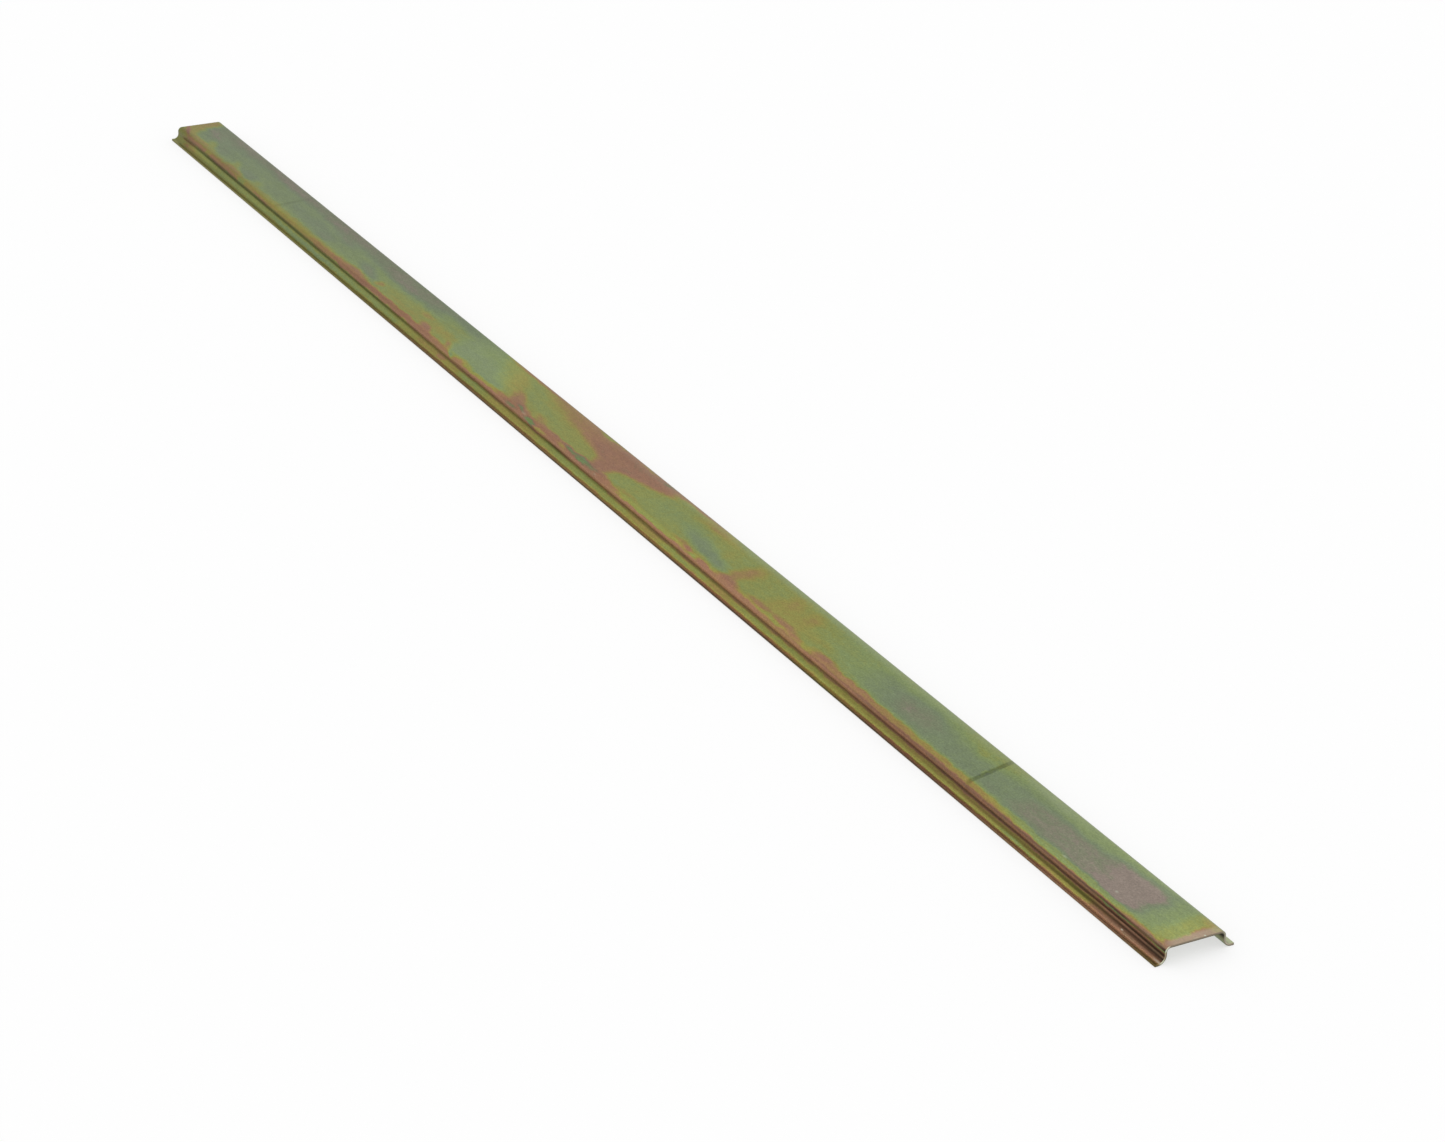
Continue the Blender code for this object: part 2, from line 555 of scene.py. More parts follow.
# Its middle
MIDDLE_STAINS = (
    stain("yellow-green", -87, 4, 7, 10, 0.46, lean=-1.2, edge=0.6),
    stain("olive column", -70, 2, 11, 11, 0.58, lean=-1.2, square=3, edge=0.5),
    stain("orange seam", -72, 4, 4.5, 6, 0.6, lean=-1.2, edge=0.7, strength=0.4),
    stain("olive shoulder", -57, 9, 14, 5, 0.5, lean=-1, edge=0.5),
    stain("green 1", -55, 6, 7, 4.5, 0.46, lean=-1, edge=0.6),
    stain("green arc", -42, -1.6, 12, 3.2, 0.44, lean=-2, edge=0.6),
    stain("green 2", -25, -4, 16, 2.6, 0.49, lean=-2, edge=0.7),
    stain("pink cloud", -5, 8.6, 42, 7.8, 0.75, lean=-3, edge=0.36),
    stain("pink cloud's middle", 20, 5, 27, 7.6, 0.83, lean=-2, edge=0.36),
    stain("pink cloud's heart", 46, 6.5, 33, 8.6, 0.9, lean=1.6, edge=0.2),
    stain("pink stem", 36, -5, 7.6, 8, 0.89, square=3, edge=0.4),
    run("pink tail 1", -92, -40, 12.3, 1.6, 0.84, edge=0.6),
    run("pink tail 2", 70, 124, 12.3, 1.6, 0.86, edge=0.6),
    stain("green edge spot", 8, 11.2, 8, 1, 0.44, edge=0.6, strength=0.7),
    stain("olive edge spot", 50, 11.3, 8, 0.9, 0.62, edge=0.6, strength=0.7),
    stain("teal edge spot", 71, 11.2, 5, 0.9, 1.1, edge=0.6, strength=0.7),
    stain("orange streak", -25, -8.5, 4, 2.6, 0.7, lean=-1.5, edge=0.7),
    stain("brown tongue's tip", -52, -7.4, 5.6, 4.6, 0.8, lean=-1.2, edge=0.5),
    stain("brown tongue", -44, -10.5, 11, 3, 0.85, lean=-2.2, edge=0.4),
    run("pink ground 1", -64, -18, -14, 2.6, 0.86, edge=0.3),
    run("pink ground 2", -22, 57, -13.2, 3.3, 0.89, edge=0.25),
    stain("pink edge", 55, -13.5, 12, 2, 0.88, lean=-1.8, edge=0.3),
    stain("olive in the pink", 5, -13, 4, 2, 0.7, edge=0.6),
    stain("grey-green in the pink", 12, -11.5, 7, 1.2, 1.06, edge=0.6),
    stain("dark teal scar", 28, -11.7, 11, 1.5, 1.14, edge=0.65, strength=0.8),
    stain("dark teal drop", 26, -13.6, 4, 1, 1.16, edge=0.65, strength=0.8),
    stain("dark teal spot", -42, -11.2, 3.6, 1.4, 1.14, lean=-1.5, edge=0.65, strength=0.8),
    stain("green pocket", -27, -14.8, 6, 1.8, 1.25, edge=0.65, strength=0.8),
    stain("grey-green pocket", -49, -14.4, 5, 1.4, 1.06, edge=0.65, strength=0.8),
    stain("olive pocket", -18, -15.2, 6, 1, 0.64, edge=0.6),
    stain("green 3", 94, -1, 13, 6, 0.43, edge=0.7),
    stain("sea green foot", 57, -9.4, 6, 2.2, 0.44, lean=-1, edge=0.6),
    stain("orange foot 2", 69, -10.4, 9, 1.2, 0.64, edge=0.6),
    run("yellow-green foot", 66, 118, -13.4, 1.7, 0.49, edge=0.5),
    run("thin pink stripe 2", 62, 142, -15.8, 0.9, 0.87),
)

# Its near part
FRONT_STAINS = (
    stain("orange top", 122, 8, 14, 3.4, 0.65, edge=0.7),
    stain("green 4", 118, 2.5, 10, 3, 0.42, edge=0.7),
    stain("teal lens", 133, -4.6, 18, 4.6, 0.28, lean=-2.2, edge=0.5),
    stain("teal lens's heart", 140, -6.2, 11, 3, 0.2, lean=-2.2, edge=0.6),
    stain("streak 1", 167, 0, 4.6, 6.6, 0.76, edge=0.8),
    stain("streak 1, lower", 165, -7, 4, 5, 0.75, edge=0.8),
    stain("streak 1, foot", 167, -12.6, 7, 3.6, 0.88, edge=0.4),
    stain("streak 2", 201, 2, 5, 5, 0.7, edge=0.9),
    stain("streak 2, lower", 197, -6, 5, 5, 0.68, edge=0.8),
    stain("streak 3", 218, -1, 5, 7, 0.72, edge=0.7),
    stain("faint streak", 146, 2, 3, 5, 0.55, edge=0.8),
    stain("haze between them", 208, -5, 16, 6, 0.58, edge=0.8),
    stain("pink under streak 2", 193, -10.6, 8, 1.6, 0.8, edge=0.5),
    stain("pink under streak 3", 216, -10.6, 10, 1.9, 0.8, edge=0.5),
    stain("pink beyond it", 228, -12.4, 6, 1.3, 0.8, edge=0.5),
    stain("orange haze", 237, -5.5, 11, 2.4, 0.57, edge=0.8),
    stain("pink blob", 130, -12.1, 5, 1.1, 0.9, edge=0.5),
    stain("orange beside it", 122, -11.4, 5, 1.2, 0.7, edge=0.7),
    stain("green fleck 1", 137, -13.5, 3.4, 1.1, 0.48, edge=0.5),
    stain("yellow foot", 206, -13, 10, 1.2, 0.55, edge=0.5),
    stain("green gap", 237, -12.4, 4.4, 2.6, 0.48, edge=0.5),
    run("pink stripe 6", 142, 157, -14.8, 1.9, 0.92),
    run("pink stripe 7", 156, 203, -15, 1.6, 0.87),
    run("weak stripe 2", 203, 228, -15.4, 1.2, 0.8),
    run("pink stripe 8", 240, 305, -13.4, 2.2, 0.8, edge=0.3),
    run("brown stripe's foot", 235, 305, -15.6, 1.0, 0.9, edge=0.3),
    stain("pink tongue 3", 250, -11, 8, 2.2, 0.86, edge=0.5),
    stain("mauve hint", 308, -1, 14, 6, 0.09, edge=0.7),
    stain("olive top", 352, 9, 24, 6.5, 0.45, edge=0.6),
    stain("yellow spot", 349, 4.5, 4.5, 2.6, 0.54, edge=0.8, strength=0.6),
    stain(
        "pressed line",
        PRESSED_LINE,
        0,
        1.3,
        13.5,
        0.46,
        lean=PRESSED_LEAN,
        square=6,
        edge=0.5,
        strength=0.7,
    ),
    run("mauve field", 396, 476, -3.4, 7.6, 0.07, edge=0.3),
    stain("mauve field's top", 456, 3.4, 22, 6, 0.06, lean=1.8, edge=0.5),
    stain("mauve lobe", 396, -4, 10, 5, 0.07, edge=0.6),
    stain("pink heart 1", 461, 2, 14, 5, -0.08, edge=0.6),
    stain("pink heart 2", 462, -7.4, 14, 3.4, -0.08, edge=0.6),
    run("orange foot 3", 308, 392, -12.8, 1.3, 0.67, edge=0.5),
    run("yellow-green foot 2", 394, 476, -11.8, 1, 0.46, edge=0.5),
    run("light green front", 477, 490, 0, 12.6, 0.35, edge=0.6),
    run("yellow front", 487.5, 502, 0, 13, 0.49, edge=0.4),
    stain("pink front foot", 482, -13.4, 8, 1.3, 0.86, edge=0.4),
    run("brown front edge", 496.4, 506, 0, 16, 0.88, edge=0.22),
    stain("brown front corner", 499, 11.5, 8, 3, 0.68, edge=0.6),
)

# The lit wall and flange
LOWER_STAINS = (
    run("pink at the back", -491, -481, -19.8, 1.9, 0.86),
    run("brown-olive", -481, -469, -19.8, 1.9, 0.66),
    run("yellow-olive", -469, -445, -19.8, 1.9, 0.57),
    run("green-olive", -445, -260, -19.8, 1.9, 0.47),
    run("teal-green", -345, -255, -19.8, 1.9, 0.33, edge=0.4),
    run("green-olive 2", -255, -180, -19.8, 1.9, 0.45),
    run("yellow-olive 2", -180, -156, -19.8, 1.9, 0.58),
    run("olive-brown", -157, -133, -19.8, 1.9, 0.66),
    run("brown", -134, -123, -19.8, 1.9, 0.8),
    run("brown-olive 2", -124, -105, -19.8, 1.9, 0.64),
    run("olive-green", -106, -74, -19.8, 1.9, 0.47),
    run("olive-brown 2", -75, -12, -19.8, 1.9, 0.63),
    run("green-olive 3", -13, 63, -19.8, 1.9, 0.5),
    run("brown 2", 78, 110, -19.8, 1.9, 0.66),
    run("brown-olive 3", 153, 176, -19.8, 1.9, 0.66),
    run("yellowish", 256, 395, -20.4, 1.9, 0.58),
    run("green 5", 395, 423, -21, 1.4, 0.47),
    run("olive-brown 3", 423, 458, -21, 1.4, 0.62),
    run("pink at the front", 457, 505, -21, 2, 0.88, edge=0.2),
    run("pink on the wall", 457, 505, -18.6, 1.4, 0.97, edge=0.3),
    run("pink flange at the front", 457, 488, -21, 1.8, 0.93, edge=0.3),
    run("olive slit edge at the back", -520, -170, -24, 1.7, 0.6, edge=0.4),
    run("olive wall at the back 2", -520, -170, -17.4, 1.3, 0.5, edge=0.4),
    run("brown slit edge 1", -190, 135, -23.9, 1.2, 0.76, edge=0.4),
    run("brown slit edge 2", 125, 235, -23.9, 1.2, 0.84, edge=0.4),
    run("brown slit edge 3", 285, 400, -23.9, 1.2, 0.87, edge=0.4),
    run("brown slit edge 4", 400, 490, -24.2, 1.6, 0.87, edge=0.4),
    run("olive slit edge at the front", 486, 515, -24.2, 1.5, 0.78, edge=0.4),
    run("olive corner of the flange", 495, 515, -23.3, 1.2, 0.72, edge=0.4),
    run("brown-olive wall", 285, 458, -19.4, 1.2, 0.66, edge=0.5),
    run("red-brown wall", 285, 520, -17.2, 1.0, 0.93, edge=0.5),
    run("red-brown crown bend", 290, 458, -15.4, 0.9, 0.92, edge=0.5),
    run("green shoulder", 396, 476, -12.8, 1.3, 0.42, edge=0.4),
    run("dull far corner", -515, -485, -18, 5.5, 0.54, edge=0.3),
    run("red-brown wall, far corner", -492, -474, -16.9, 1.0, 0.72, edge=0.5),
    run("red-brown shoulder", 477, 515, -14.5, 0.9, 0.95, edge=0.5),
    run("green line 1", 457, 480, -16.1, 0.4, 0.36, edge=0.4),
    run("green line 2", 490, 515, -16.2, 0.35, 0.4, edge=0.4),
)

# The wall and flange on the other side, which the photograph hardly shows
HIDDEN_STAINS = (
    run("hidden olive wall", -520, -330, 16.4, 1.8, 0.54, edge=0.4),
    run("hidden pink stripe 1", -320, -190, 15.6, 1.5, 0.86, edge=0.3),
    run("hidden green gap", -196, -170, 15.4, 1.8, 0.42, edge=0.5),
    run("hidden pink stripe 2", -110, 60, 15.8, 1.3, 0.88, edge=0.3),
    stain("hidden pink tongue", -40, 19, 16, 2.4, 0.84, lean=2.0, edge=0.4),
    stain("hidden teal pocket", 96, 16, 14, 1.6, 0.28, edge=0.5),
    run("hidden pink stripe 3", 150, 262, 15.4, 1.6, 0.84, edge=0.3),
    run("hidden yellow flange", 40, 210, 21, 1.8, 0.58, edge=0.4),
    stain("hidden brown flange", -230, 21, 34, 1.6, 0.72, edge=0.5),
    stain("hidden sea green flange", -390, 20.6, 40, 1.8, 0.33, edge=0.5),
    run("hidden pale green wall", 330, 450, 16, 2.2, 0.36, edge=0.4),
    run("grey-green wall at the front", 440, 515, 16, 3, 0.26, edge=0.4),
    run("beige flange", 440, 515, 21.5, 4, 0.5, edge=0.3),
    run("hidden brown wall", -405, -375, 14.8, 1.4, 0.88, edge=0.4),
)

FILM_STAINS = (
    GROUNDS + BACK_STAINS + MIDDLE_STAINS + FRONT_STAINS + LOWER_STAINS + HIDDEN_STAINS
)

# Painted shade and painted highlights, which turn the metal's brightness to a value, where 1 leaves
# it as it is. Where two overlap, the later one holds, and one of little strength only darkens what
# is under it. First the lit side, where the dark and light bands along the bends, wall, flange and
# slit edge are painted shade and painted reflections.
SIDE_SHADE_AND_HIGHLIGHTS = (
    run("far side", -580, -375, -18.5, 7.6, 0.75, edge=0.3),
    run("far corner", -520, -481, -18.5, 7.6, 0.64, edge=0.2),
    run("lighter part of the far side", -476, -442, -17.0, 3.0, 1.0, edge=0.5),
    run("crown bend at the far end", -520, -400, -15.2, 0.8, 0.7, edge=0.6),
    run("far flange", -500, -400, -21.3, 0.9, 0.6, edge=0.5),
    run("edge of the far flange", -520, -400, -23.2, 0.6, 0.8, edge=0.6),
    run("stripe at the back", -430, -160, -14.3, 1.7, 0.86, edge=0.4),
    run("wall at the back", -430, -120, -19.6, 2.2, 0.88, edge=0.4),
    run("wall in the middle", -140, 70, -19.6, 1.6, 0.88, edge=0.4),
    run("olive band at the front", 295, 395, -20.8, 1.2, 0.92, edge=0.4),
    run("flange at the back", -440, -280, -21.9, 0.8, 0.72, edge=0.6),
    run("flange at the back 2", -300, -150, -22.7, 1.0, 0.8, edge=0.5),
    run("pale stripe", 50, 250, -13.7, 1.5, 1.13, edge=0.5),
    run("pale shoulder", 396, 480, -13.2, 0.9, 1.1, edge=0.4),
    run("lit crown bend", -190, 240, -15.9, 1.0, 1.16, edge=0.6),
    run("shaded crown bend", 235, 400, -15.2, 0.9, 0.86, edge=0.6),
    run("lit crown bend, front", 65, 300, -16.3, 0.8, 1.42, edge=0.7),
    run("lit crown bend, near end", 300, 450, -16.5, 0.6, 1.22, edge=0.7),
    run("wall's dark line, far corner", -510, -430, -15.7, 0.8, 0.64, edge=0.6),
    run("wall's dark line, far end", -452, -280, -16.4, 1.0, 0.45, edge=0.6),
    run("wall's dark line, back", -300, -160, -17.0, 0.8, 0.56, edge=0.6),
    run("wall's dark line, middle", -180, 90, -17.8, 0.8, 0.6, edge=0.6),
    run("wall's dark line, front", 60, 330, -18.0, 0.9, 0.54, edge=0.6),
    stain("dark spot in the line 1", 2, -17.3, 10, 0.8, 0.42, edge=0.8),
    stain("dark spot in the line 2", -437, -16.3, 22, 0.8, 0.42, edge=0.8),
    run("wall's shaded foot", 235, 590, -19.2, 1.4, 0.68, edge=0.5),
    run("wall's dark line, near end", 285, 560, -17.7, 0.8, 0.43, edge=0.6),
    run("wall's dark line, corner", 455, 560, -17.5, 0.9, 0.2, edge=0.6),
    run("brown line on the wall", 457, 482, -18.5, 0.6, 1.1, edge=0.6),
    run("brown line on the wall, corner", 480, 560, -18.5, 0.5, 0.75, edge=0.6),
    run("thin ridge on the wall", 396, 482, -18.5, 0.4, 0.64, edge=0.6),
    run("dark line under the crown", 290, 352, -15.2, 0.5, 0.74, edge=0.6),
    run("dark line under the crown 2", 345, 420, -15.4, 0.5, 0.82, edge=0.6),
    stain("dark line under the crown, near end", 500, -15.1, 100, 0.5, 0.5, square=3, edge=0.6),
    run("dark line under the crown, corner", 462, 560, -15.1, 0.7, 0.16, edge=0.6),
    stain("dark line above the flange", 500, -19.7, 120, 0.8, 0.36, square=3, edge=0.6),
    run("dark line above the flange, corner", 455, 560, -19.6, 0.8, 0.15, edge=0.6),
    run("pink flange bend", 455, 482, -20.9, 0.8, 0.6, edge=0.6),
    run("pink flange bend, corner", 478, 560, -20.6, 0.9, 0.36, edge=0.6),
    run("pink flange bend 2", 455, 560, -21.6, 0.7, 0.92, edge=0.6),
    run("green line 1", 458, 479, -16.1, 0.4, 0.75, edge=0.4),
    run("green line 2", 491, 515, -16.2, 0.45, 0.85, edge=0.4),
    run("lit flange bend", -60, 550, -22.5, 0.7, 1.3, edge=0.6),
    run("lit flange bend, front", 70, 300, -22.8, 0.6, 1.5, edge=0.6),
    run("lit flange bend, front 2", 290, 440, -22.8, 0.6, 1.2, edge=0.6),
    run("lit flange bend, near end", 430, 510, -22.9, 0.7, 1.9, edge=0.6),
    run("lit edge of the flange", 0, 130, -23.4, 0.5, 1.35, edge=0.6),
    run("shade beside the flange's edge", -110, -60, -22.4, 0.6, 0.85, edge=0.6),
    run("slit edge, back", -330, -150, -24.2, 0.5, 0.66, edge=0.6),
    run("slit edge, middle", -170, 90, -24.3, 0.45, 0.5, edge=0.6),
    run("slit edge, front", 80, 400, -24.2, 0.5, 0.45, edge=0.6),
    run("slit edge, near end", 400, 560, -23.9, 0.6, 0.8, edge=0.6),
    run("slit edge's face, back", -330, -130, -24.7, 0.55, 0.4, edge=0.4),
    run("slit edge's face, middle", -150, 400, -24.7, 0.65, 0.16, edge=0.4),
    run("slit edge's face, front", 400, 480, -24.8, 0.6, 0.8, edge=0.4),
    run("slit edge's face, far end", -520, -330, -24.6, 0.7, 0.62, edge=0.5),
    run("slit edge's face, near end", 470, 560, -24.5, 0.9, 0.45, edge=0.4),
    run("dark corner of the flange", 495, 560, -23.7, 0.9, 0.42, edge=0.4),
    run("dark last stretch", 493, 560, -20.8, 2.4, 0.0, edge=0.4, strength=0.2),
    run("dark end of the crown bend", 489, 560, -15.0, 1.4, 0.0, edge=0.5, strength=0.12),
)

# Then the crown: lighter and darker patches, and painted shade in the two pressed lines
SHADE_HIGHLIGHT_AND_TONE_MARKS = SIDE_SHADE_AND_HIGHLIGHTS + (
    run("pale clearing", -129, -66, -1, 12.5, 1.15, edge=0.3),
    run("dull band", -460, -160, 9, 4, 0.95, edge=0.6),
    # painted shade in the pressed line
    stain("pressed line", PRESSED_LINE, 0, 1.3, 13.5, 0.6, lean=PRESSED_LEAN, square=6, edge=0.35),
    run("bright rim, near end", 420, 494, 10.5, 4.6, 1.09, edge=0.4),
    run("bright front", 475, 498, 0, 13, 1.08, edge=0.3),
    stain("bright yellow", 493, -1, 7, 10, 1.24, edge=0.5),
    # painted shade in the faint line
    stain("faint line", FAINT_LINE, -2, 1.5, 12, 0.84, lean=FAINT_LEAN, square=6, edge=0.6),
)

# Painted shade on the inner faces, worked the same way: in their bends, and under the crown at the
# near end
INSIDE_PAINTED_SHADE = (
    run("inner bend", -600, 600, 13.8, 2.4, 0.4, edge=0.5),
    run("inner bend on the lit side", -600, 600, -13.8, 2.4, 0.4, edge=0.5),
    stain("shade under the crown", 499, 15.0, 6, 1.9, 0.06, edge=0.6),
)

# Places where the film is thin and whitish, and by how much. The pale edges and the pale rim along
# the crown's far edge and the bright ridge at the near end are painted highlights.
WHITISH_FILM_AND_HIGHLIGHTS = (
    # painted highlight along the crown's far edge
    run("pale edge", 60, 415, 12.6, 3.0, 0.15, edge=0.7),
    run("pale edge, near end", 405, 520, 12.2, 3.8, 0.52, edge=0.6),
    run("pale flange", 440, 520, 20.5, 6.5, 0.6, edge=0.25),
    run("hidden pale flange", -520, 440, 21, 4, 0.12, edge=0.5),
    run("whitish front", 398, 520, 0, 14, 0.03, edge=0.3),
    run("pale sheared edge", 496.5, 506, 1, 12.5, 0.28, edge=0.2),
    stain("speck 1", 430, -10.6, 1.2, 0.5, 0.3, edge=0.6),
    stain("speck 2", 460, -7.4, 0.7, 0.5, 0.35, edge=0.6),
    stain("speck 3", 475, -20.9, 0.6, 0.35, 0.5, edge=0.6),
    stain("speck 4", -36, -12.8, 2.2, 0.8, 0.14, edge=0.7),
    stain("speck 5", 41, -13.9, 1.2, 0.5, 0.1, edge=0.7),
    stain("speck on the edge 1", 499.8, 4.1, 0.45, 0.35, 1.0, edge=0.6),
    stain("speck on the edge 2", 499.8, 0, 0.45, 1.1, 0.4, edge=0.7),
    # painted highlight on the flange bend at the near end
    stain("bright ridge", 498.8, -21.8, 2.2, 0.45, 0.36, edge=0.8, square=3),
    # painted highlight along the crown's far edge
    run("pale rim", 150, 520, 13.3, 1.1, 0.4, edge=0.6),
    run("pale slit edge", -520, -300, -24.4, 0.7, 0.05, edge=0.5),
)


def film(along, across, group):
    """Thickness of the chromate film over the strip."""
    drift = swing(DRIFT, along, across)
    tremble = swing(TREMBLE, along, across)
    drip = swing(DRIP, along, across)
    fringe = swing(FRINGE, along, across)
    far_along = along + drift + tremble
    far_across = across + drip + fringe
    base = ramp(far_across, -ACROSS_END, ACROSS_END, FILM_ACROSS)
    thickness = stained(base, far_along, far_across, group, FILM_STAINS)
    return thickness + swing(CLOUD, along, across) + swing(GRAIN, along, across)


def face_colour(place, along, across, inside, group):
    """Colour of the strip's faces: the film's own, mottled, with lighter and darker patches and
    painted shade and highlights, and greyer and paler inside, partly as painted light, with painted
    shade in the inner bends.
    """
    nothing = across * 0.0
    whole = nothing + 1.0
    outside = inside.rest()
    colour = ramp(film(along, across, group), MAUVE, DARK_GREEN, FILM_COLOURS)

    bright = whole
    for kind in MOTTLES:
        bright = bright * (swing(kind, along, across) + 1.0)
    # the painted shade and highlights, and the lighter and darker patches on the crown
    painted_light_and_tone = stained(whole, along, across, group, SHADE_HIGHLIGHT_AND_TONE_MARKS)
    colour = colour.scaled(bright * painted_light_and_tone.towards(1.0, inside))

    # whitish film, and painted highlights along the crown's far edge and at the near end
    pale = stained(nothing, along, across, group, WHITISH_FILM_AND_HIGHLIGHTS)
    colour = colour.tinted(PALE, pale * outside)

    # painted shade on the inner faces
    painted_inner_shade = stained(whole, place, across, group, INSIDE_PAINTED_SHADE)
    # greyer and paler inside, partly painted light on the shaded inner faces
    colour = colour.tinted(INNER_COLOUR_AND_LIGHT, inside * INNER_SHARE)
    return colour.scaled(painted_inner_shade.towards(1.0, outside))


def cut_colour(across, depth):
    """Colour of the sheared ends, with painted highlights on the lit side's bends."""
    foot = depth.ease(*CUT_FOOT_DEPTHS, 0.0, CUT_FOOT_SHARE)
    colour = ramp(across, -ACROSS_END, ACROSS_END, CUT_COLOURS_AND_HIGHLIGHTS).tinted(CUT_FOOT, foot)
    return colour.scaled(swing(CUT_GRAIN, across, depth) + 1.0)


def plated_metal():
    """Zinc plate under a chromate film, as one material for the whole strip."""
    material = bpy.data.materials.new("chromated_zinc")
    material.use_nodes = True
    tree = material.node_tree
    coordinates = tree.nodes.new("ShaderNodeTexCoord")
    split = tree.nodes.new("ShaderNodeSeparateXYZ")
    tree.links.new(coordinates.outputs["Object"], split.inputs[0])
    place = Field(tree, split.outputs[0]) / MM
    across = attribute(tree, "across")
    depth = attribute(tree, "depth")
    cut = attribute(tree, "cut")
    inside = depth.ease(*INNER_FACE)
    along = place.towards(place * INNER_TURN + INNER_SHIFT, inside)

    colour = face_colour(place, along, across, inside, stain_group())
    colour = colour.tinted(cut_colour(across, depth), cut)

    draw_lines = noise(DRAW_LINES, along, across)
    spangle = noise(SPANGLE, along, across)
    blotch = noise(BLOTCH, along, across)
    rough = draw_lines * DRAW_LINES.strength + spangle * SPANGLE.strength
    rough = rough + blotch * BLOTCH.strength + ROUGHNESS
    bump = tree.nodes.new("ShaderNodeBump")
    bump.inputs["Distance"].default_value = RELIEF * MM
    connect(tree, bump.inputs["Height"], draw_lines * DRAW_LINE_RELIEF + spangle)

    shader = tree.nodes["Principled BSDF"]
    connect(tree, shader.inputs["Base Color"], colour)
    connect(tree, shader.inputs["Roughness"], rough + cut * CUT_ROUGHNESS)
    tree.links.new(bump.outputs["Normal"], shader.inputs["Normal"])
    shader.inputs["Metallic"].default_value = 1.0
    shader.inputs["Specular Tint"].default_value = EDGE_TINT
    return material


def half_centre_line():
    """Points and outward normals of the middle line, from the crown's middle to a slit edge."""
    points = []

    def add(y, z, angle):
        normal = (math.cos(angle), math.sin(angle))
        points.append(((y, z), normal))

    crown_radius = CROWN_BEND + STRIP / 2
    flange_radius = FLANGE_BEND + STRIP / 2
    wall_y = (HAT_WIDTH - STRIP) / 2
    crown_z = RAIL_HEIGHT - STRIP / 2
    flange_z = STRIP / 2
    crown_end = wall_y - crown_radius
    flange_start = wall_y + flange_radius
    wall_top = crown_z - crown_radius
    wall_foot = flange_z + flange_radius
    flange_end = RAIL_WIDTH / 2 - SLIT_EDGE
    half_crown_steps = CROWN_STEPS // 2

    for step in range(half_crown_steps + 1):
        add(crown_end * step / half_crown_steps, crown_z, math.pi / 2)
    for step in range(1, BEND_STEPS + 1):
        angle = math.pi / 2 * (1 - step / BEND_STEPS)
        add(
            crown_end + crown_radius * math.cos(angle),
            wall_top + crown_radius * math.sin(angle),
            angle,
        )
    for step in range(1, WALL_STEPS + 1):
        add(wall_y, wall_top + (wall_foot - wall_top) * step / WALL_STEPS, 0.0)
    for step in range(1, BEND_STEPS + 1):
        angle = math.pi / 2 * step / BEND_STEPS
        add(
            flange_start - flange_radius * math.cos(angle),
            wall_foot - flange_radius * math.sin(angle),
            angle,
        )
    for step in range(1, FLANGE_STEPS + 1):
        add(
            flange_start + (flange_end - flange_start) * step / FLANGE_STEPS,
            flange_z,
            math.pi / 2,
        )
    return points


def section_pairs():
    """The section as pairs of an outer and an inner point, from one slit edge to the other."""
    reach = STRIP / 2
    half = []
    for (y, z), (ny, nz) in half_centre_line():
        outer = (y + ny * reach, z + nz * reach)
        inner = (y - ny * reach, z - nz * reach)
        half.append((outer, inner))
    edge_y = RAIL_WIDTH / 2 - SLIT_EDGE
    for step in range(1, EDGE_STEPS + 1):
        angle = math.pi / 2 * step / EDGE_STEPS
        y = edge_y + SLIT_EDGE * math.sin(angle)
        rise = SLIT_EDGE * (1 - math.cos(angle))
        half.append(((y, STRIP - rise), (y, rise)))
    mirrored = [tuple((-y, z) for y, z in pair) for pair in reversed(half[1:])]
    return mirrored + half


def inset_loop(loop, amount):
    """The closed section drawn in by an amount, square to its own outline."""
    inset = []
    for index, (y, z) in enumerate(loop):
        before = Vector(loop[index - 1])
        after = Vector(loop[(index + 1) % len(loop)])
        along = (after - before).normalized()
        inset.append((y + along.y * amount, z - along.x * amount))
    return inset


def groove_depth(x, distance):
    """How far the two lines pressed across the crown sink below its outer face."""
    sunk = 0.0
    for place, lean, half_width, deep in GROOVES:
        away = abs(x - place - lean * distance) / half_width
        if away < 1.0 and abs(distance) < GROOVE_REACH:
            sunk = max(sunk, deep * (1.0 - away * away) ** 2)
    return sunk


def stations():
    """Where the section is repeated along the rail, with how far it is drawn in there."""
    half_length = RAIL_LENGTH / 2

    # A sheared end is rounded as a quarter circle
    near_end = []
    for offset in END_STATIONS:
        gap = max(0.0, SHEARED_END - offset)
        drawn_in = SHEARED_END - math.sqrt(max(0.0, SHEARED_END**2 - gap**2))
        near_end.append((half_length - offset, drawn_in))

    # Even steps between the ends, and finer ones about the pressed lines
    last = half_length - END_STATIONS[-1]
    count = round(2 * last / STATION_SPACING)
    places = {last - 2 * last * step / count for step in range(1, count)}
    steps = round(2 * GROOVE_STRETCH / GROOVE_SPACING)
    for line in (PRESSED_LINE, FAINT_LINE):
        places = {x for x in places if abs(x - line) > GROOVE_STRETCH}
        start = line - GROOVE_STRETCH
        places |= {start + 2 * GROOVE_STRETCH * step / steps for step in range(steps + 1)}

    middle = [(x, 0.0) for x in sorted(places, reverse=True)]
    far_end = [(-x, drawn_in) for x, drawn_in in reversed(near_end)]
    return near_end + middle + far_end


